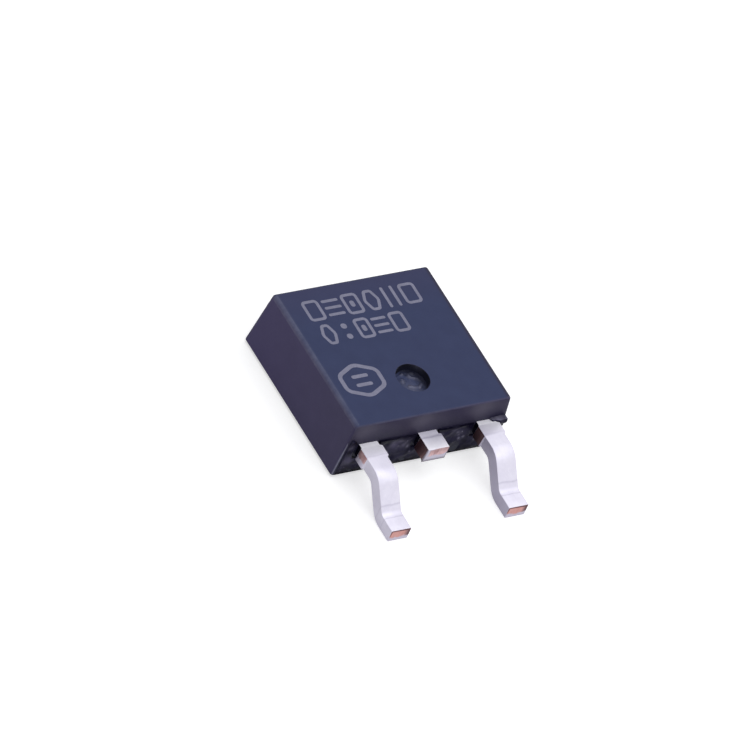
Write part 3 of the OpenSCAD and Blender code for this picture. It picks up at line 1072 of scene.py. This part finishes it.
def rollShoulder(piece, endY, axisX, innerX):
    def drawIn(place):
        high = (place.z - package["exitZ"] + package["strip"]) / package["strip"]
        return min(axisX - innerX - place.x, leadShape["rollIn"] * min(1.0, high * 1.3)), 0, 0

    nudge(piece, drawIn, lambda place: endY - 0.01 < place.y < shoulderY + 0.01
          and place.x < axisX - innerX)


def bareCuts(piece, isBare, neckEndY=0.0):  # copper where sheared, broken resin with painted shade on the neck
    paint(piece, tinPlate, shearedCopper, brokenCompound)
    for face in piece.data.polygons:
        centre, normal = face.center, face.normal
        onNeck = shoulderY + 0.01 < centre.y < neckEndY and abs(normal.x) > 0.5
        face.material_index = 2 if onNeck else int(isBare(centre, normal))
    paintPoints(piece, crevice=lambda place, normal: 0.8)


def paintLead(lead, axisX, side):
    p, s = package, leadShape
    toeEnd = p["toeY"] + 0.2
    smearTop = p["exitZ"] - p["strip"] * s["smearFrom"][side]

    def isBare(centre, normal):
        onShoulder = (shoulderEndY < centre.y < shoulderY and abs(normal.x) > 0.7
                      and abs(centre.x - axisX) > s["width"] / 2 + 0.01)
        return onShoulder or centre.y < p["toeY"] + 0.03 and normal.y < -0.7

    def tinSmear(place, normal):
        if place.y < toeEnd:
            return s["toeSmear"][0] - s["toeSmear"][1] * place.z / p["strip"]
        return (smearTop - place.z) * 3

    # tarnish, and painted shade on the shoulders
    def tarnish(place, normal):
        if place.y > toeEnd:
            return s["shoulderTarnish"][side] - (shoulderY - place.y) * 0.6
        toRim = min(axisX + s["width"] / 2 - place.x, p["strip"] - place.z + 0.04)
        return s["rimTarnish"] if toRim < s["rimWidth"] else s["toeTarnish"]

    def freshCut(place, normal):
        return (place.y < toeEnd) * s["toeFresh"][place.x >= axisX + 0.2]

    def deepShade(place, normal):
        return (place.y > toeEnd) * s["deepShade"][side] * (p["exitZ"] - 0.12 - place.z) / 0.25

    bareCuts(lead, isBare)
    paintPoints(lead, tinSmear=tinSmear, tarnish=tarnish, freshCut=freshCut,
                deepShade=deepShade,
                nearBody=lambda place, normal: (place.y - shoulderEndY) / 0.4,
                cutSide=lambda place, normal: s["dullSide"][side] * (abs(normal.x) - 0.45) / 0.4)


makeLead("inputLead", "input_lead", -1)
makeLead("outputLead", "output_lead", 1)


# Tab, strap and ground stub, one stamping

frameShape = {
    "tabWidth": 4.70,
    "tabChamfer": 0.40,
    "paddleFrontY": -0.335,
    "lipReach": 0.22,
    "lipThickness": 0.20,
    "lipEndY": 3.345,
    "notchRadius": 0.34,
    "notchSpacing": 2.20,
    "grooveY": 3.465,  # a V groove keeps moisture from creeping in to the chip
    "grooveDepth": 0.12,
    "strapWidth": 1.10,
    "stubEndY": -2.775,
    "neckEndY": -1.82,
    "burr": 0.07,  # the sheared end is dragged down by this much
    "cornerRound": 0.03,
    "bendSteps": 12,
    "smearTop": 0.50,  # shares of the strip's height and of the shoulder's width
    "smearLeft": 0.22,
    "endTarnish": 0.42,
    "sideTarnish": 0.66,
    "rearTarnish": 0.3,
    "burrShade": 0.75,
    "sideShade": 0.7,
}


def growLips(tab):  # what holds the paddle in the resin
    p, f = package, frameShape
    underLip = p["strip"] - f["lipThickness"]
    editAgain(tab)
    sliceAt([(0, 0, underLip)], (0, 0, 1))
    sliceAt([(0, f["lipEndY"], 0)], (0, 1, 0))
    for side in (-1, 1):
        pickFaces(tab, lambda centre, normal: normal.x * side > 0.9 and centre.z > underLip
                  and abs(centre.x) > f["tabWidth"] / 2 - 0.01 and centre.y < f["lipEndY"])
        extrudeBy((side * f["lipReach"], 0, 0))
    middleY = (f["paddleFrontY"] + f["lipEndY"]) / 2
    for side in (-1, 1):
        for end in (-1, 1):
            place = (side * (f["tabWidth"] / 2 + f["lipReach"]),
                     middleY + end * f["notchSpacing"] / 2, halfStrip)
            punchRound(tab, place, f["notchRadius"])
    size = f["grooveDepth"] * 3
    grooveMidZ = p["strip"] - f["grooveDepth"] + size / math.sqrt(2)
    punch(tab, startPiece("grooveCutter", bpy.ops.mesh.primitive_cube_add, size=1,
                          location=(0, f["grooveY"], grooveMidZ),
                          rotation=(math.radians(45), 0, 0),
                          scale=(f["tabWidth"] + 0.2, size, size)))


def makeTabFrame():
    p, f, s = package, frameShape, leadShape
    length = p["tabEndY"] - f["paddleFrontY"]
    tab = startSheet("tabFrame", (0, f["paddleFrontY"] + length / 2, halfStrip), f["tabWidth"],
                     length)
    pickPoints(tab, lambda place: place.y > p["tabEndY"] - 0.01)
    bpy.ops.mesh.bevel(offset=f["tabChamfer"], segments=1, affect="VERTICES")
    sliceAt([(x, 0, 0) for x in (-f["strapWidth"] / 2, f["strapWidth"] / 2)], (1, 0, 0))
    strapEdge = f["strapWidth"] / 2 + 0.01
    pickEdges(tab, lambda a, b: max(a.y, b.y) < f["paddleFrontY"] + 0.01
              and max(abs(a.x), abs(b.x)) < strapEdge)
    upperY = formDownset(0, f["paddleFrontY"], -1, f["bendSteps"])
    walkStrip(0, upperY, f["strapWidth"], [
        (f["neckEndY"], s["neckWidth"]), (shoulderY + s["blunt"], s["neckWidth"]),
        (shoulderY, s["shoulderWidth"]), (f["stubEndY"], s["shoulderWidth"])])
    thickenStrip(tab)
    growLips(tab)
    roundEdges(tab, f["cornerRound"])
    editAgain(tab)
    sliceAt([(0, f["stubEndY"] + 0.07, 0)], (0, 1, 0))
    rollShoulder(tab, f["stubEndY"], 0, s["neckWidth"] / 2)
    rimEnd(tab, f["stubEndY"])
    underside = p["exitZ"] - p["strip"]
    nudge(tab, lambda place: (0, 0, -f["burr"]), lambda place:
          place.y < f["stubEndY"] + 0.05 and place.z < underside + 0.06)
    clearSelection()
    paintTabFrame(tab)
    finishPiece(tab, "tab_frame")


def paintTabFrame(tab):
    p, f, s = package, frameShape, leadShape
    endY = f["stubEndY"] + 0.04
    burrZ = p["exitZ"] - p["strip"] + 0.025 - f["burr"]
    smearTop = p["exitZ"] - p["strip"] * f["smearTop"]
    smearLeft = -s["shoulderWidth"] * f["smearLeft"]

    def isBare(centre, normal):
        onSide = centre.y < shoulderY and abs(normal.x) > 0.6
        onEnd = centre.y < f["stubEndY"] + 0.03 and (normal.y < -0.7 or normal.z < -0.4)
        return onSide or onEnd or centre.y > p["tabEndY"] - 0.03 and normal.y > 0.9

    def tinSmear(place, normal):
        if place.y > 0:
            return (0.2 - place.z) * 4
        if place.y > endY:
            return 0.0
        return max((smearTop - place.z) * 3.5 + 0.3, (smearLeft - place.x) * 4 + 0.2)

    def tarnish(place, normal):
        if place.y > 0:
            return f["rearTarnish"]
        if place.y > endY:
            return f["sideTarnish"] + 0.7 * (place.y - f["stubEndY"])
        return f["endTarnish"] * (1 - (p["exitZ"] - place.z) / 0.28)

    def deepShade(place, normal):
        if place.y < endY and place.z < burrZ:
            return f["burrShade"]
        return f["sideShade"] * (place.y - f["stubEndY"] - 0.2) * (place.y < 0)

    bareCuts(tab, isBare, f["neckEndY"])
    paintPoints(tab, tinSmear=tinSmear, tarnish=tarnish, deepShade=deepShade,
                stub=lambda place, normal: 1.0,
                nearBody=lambda place, normal: (shoulderY - place.y) / 0.5)


makeTabFrame()


# Marking: plain shapes in two rows, and one shape beside the recess

marking = {
    "stroke": 0.11,
    "height": 0.0026,
    "sink": 0.0006,
    "rowOne": {"startX": -2.29, "middleY": 2.935, "pitch": 0.75, "width": 0.64, "tall": 0.88,
               "shapes": ["square", "bars", "window", "hexagon", "posts", "square"]},
    "rowTwo": {"startX": -2.24, "middleY": 1.885, "pitch": 0.68, "width": 0.58, "tall": 0.86,
               "shapes": ["hexagon", "dots", "window", "bars", "square"]},
    "spread": {"bars": 0.33, "posts": 0.28, "dots": 0.26},  # shares of the shape's size
    "hexagonSoft": 0.09,
    "squareSoft": 0.16,
    "bigShape": {"middle": (-1.82, -0.16), "width": 1.60, "tall": 1.52, "stroke": 0.15,
                 "soft": 0.2, "barLength": 0.62, "barThick": 0.14, "barSpread": 0.18},
}


def drawOutline(corners, x, y, width, tall, turn, stroke, soft):
    shape = startPiece("markOutline", bpy.ops.mesh.primitive_circle_add, vertices=corners,
                       radius=1, fill_type="NGON", rotation=(0, 0, math.radians(turn)))
    points = [point.co for point in bmesh.from_edit_mesh(shape.data).verts]
    spanX = max(point.x for point in points) - min(point.x for point in points)
    spanY = max(point.y for point in points) - min(point.y for point in points)
    resize((width / spanX, tall / spanY, 1), (0, 0, 0))
    bpy.ops.mesh.bevel(offset=soft, segments=6, affect="VERTICES")
    pickFaces(shape, lambda centre, normal: True)
    bpy.ops.mesh.inset(thickness=stroke)
    bpy.ops.mesh.delete(type="FACE")
    selectAll()
    bpy.ops.transform.translate(value=(x, y, 0))
    return shape


def drawStroke(x, y, length, thick, turn):
    shape = startSheet("markStroke", (0, 0, 0), length, thick)
    bpy.ops.mesh.bevel(offset=min(length, thick) * 0.45, segments=5, affect="VERTICES")
    selectAll()
    bpy.ops.transform.rotate(value=math.radians(turn), orient_axis="Z",
                             center_override=(0, 0, 0))
    bpy.ops.transform.translate(value=(x, y, 0))
    return shape


def drawShape(kind, x, y, width, tall):
    wide, apart = marking["stroke"], marking["spread"].get(kind)
    if kind == "bars":
        return [drawStroke(x, y + shift * tall, width, wide, 0) for shift in (-apart, 0, apart)]
    if kind == "posts":
        return [drawStroke(x + shift * width, y, tall, wide, 90) for shift in (-apart, apart)]
    if kind == "dots":
        return [drawStroke(x, y + shift * tall, 2 * wide, 2 * wide, 0)
                for shift in (-apart, apart)]
    if kind == "hexagon":
        return [drawOutline(6, x, y, width, tall, 30, wide, marking["hexagonSoft"])]
    shapes = [drawOutline(4, x, y, width, tall, 45, wide, marking["squareSoft"])]
    if kind == "window":
        shapes.append(drawStroke(x, y, 1.5 * wide, 2.4 * wide, 0))
    return shapes


def makeTopMarking():
    m = marking
    shapes = []
    for row in (m["rowOne"], m["rowTwo"]):
        for index, kind in enumerate(row["shapes"]):
            x = row["startX"] + row["width"] / 2 + index * row["pitch"]
            shapes += drawShape(kind, x, row["middleY"], row["width"], row["tall"])
    big = m["bigShape"]
    x, y = big["middle"]
    shapes.append(drawOutline(6, x, y, big["width"], big["tall"], 0, big["stroke"], big["soft"]))
    shapes += [drawStroke(x, y + shift, big["barLength"], big["barThick"], 0)
               for shift in (big["barSpread"], -big["barSpread"])]
    clearSelection()
    for shape in shapes:
        shape.select_set(True)
    bpy.context.view_layer.objects.active = shapes[0]
    bpy.ops.object.join()
    marks = bpy.context.object
    marks.name = "topMarking"
    marks.data.name = "topMarking"
    applyModifier(marks, "SOLIDIFY", thickness=m["height"] + m["sink"], offset=0)
    editAgain(marks)
    selectAll()
    bpy.ops.transform.translate(value=(0, 0, package["topZ"] + (m["height"] - m["sink"]) / 2))
    bpy.ops.mesh.normals_make_consistent(inside=False)
    clearSelection()
    paint(marks, burntMark)
    finishPiece(marks, None)


makeTopMarking()


# Pieces inside the moulding keep their CAD shape

for node, material in (("regulator_die", chipSilicon), ("die_solder", softSolder),
                       ("input_wire", bondAluminium), ("output_wire", bondAluminium),
                       ("ground_wire", bondAluminium)):
    paint(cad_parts[node], material)
print("inner pieces painted")


# Studio

studio = {
    "floorSize": 1.2,
    "worldLight": 0.50,
    "softboxPlace": (70, -50, 310),  # millimetres, like its size
    "softboxSize": 400,
    "softboxPower": 0.60,
    "softboxColour": (0.96, 0.98, 1.0),
    "paper": 0.72,
    "paperWhite": 0.55,  # only what the camera and the metal see of it
}


def seenDirectly(tree):  # 1 for what the camera, metal or glass sees, 0 for light
    path = addNode(tree, "ShaderNodeLightPath").outputs
    seen = plus(tree, path["Is Camera Ray"], path["Is Glossy Ray"], True)
    return plus(tree, seen, path["Is Transmission Ray"], True)


def makeFloor():
    clearSelection()
    bpy.ops.mesh.primitive_plane_add(size=studio["floorSize"])
    floor = bpy.context.object
    floor.name = "studioFloor"
    paper = bpy.data.materials.new("whitePaper")
    paper.use_nodes = True
    paint(floor, paper)
    tree = paper.node_tree
    feedAll(tree, tree.nodes["Principled BSDF"].inputs, {
        "Base Color": (*[studio["paper"]] * 3, 1), "Roughness": 0.9,
        "Emission Color": (1, 1, 1, 1),
        "Emission Strength": times(tree, seenDirectly(tree), studio["paperWhite"])})


def makeSoftbox():
    lamp = bpy.data.lights.new("softbox", "AREA")
    lamp.shape = "SQUARE"
    lamp.size = studio["softboxSize"] * millimetre
    lamp.energy = studio["softboxPower"]
    lamp.color = studio["softboxColour"]
    softbox = placeObject("softbox", lamp, studio["softboxPlace"])
    softbox.rotation_euler = (-softbox.location).to_track_quat("-Z", "Y").to_euler()


def makeWorld():
    world = bpy.data.worlds.new("studioWorld")
    bpy.context.scene.world = world
    world.use_nodes = True
    tree = world.node_tree
    feedAll(tree, tree.nodes["Background"].inputs, {
        "Color": (1, 1, 1, 1),
        "Strength": between(tree, seenDirectly(tree), studio["worldLight"], 1.0)})


makeFloor()
makeSoftbox()
makeWorld()
bpy.context.scene.view_settings.view_transform = "Standard"
print("studio set")
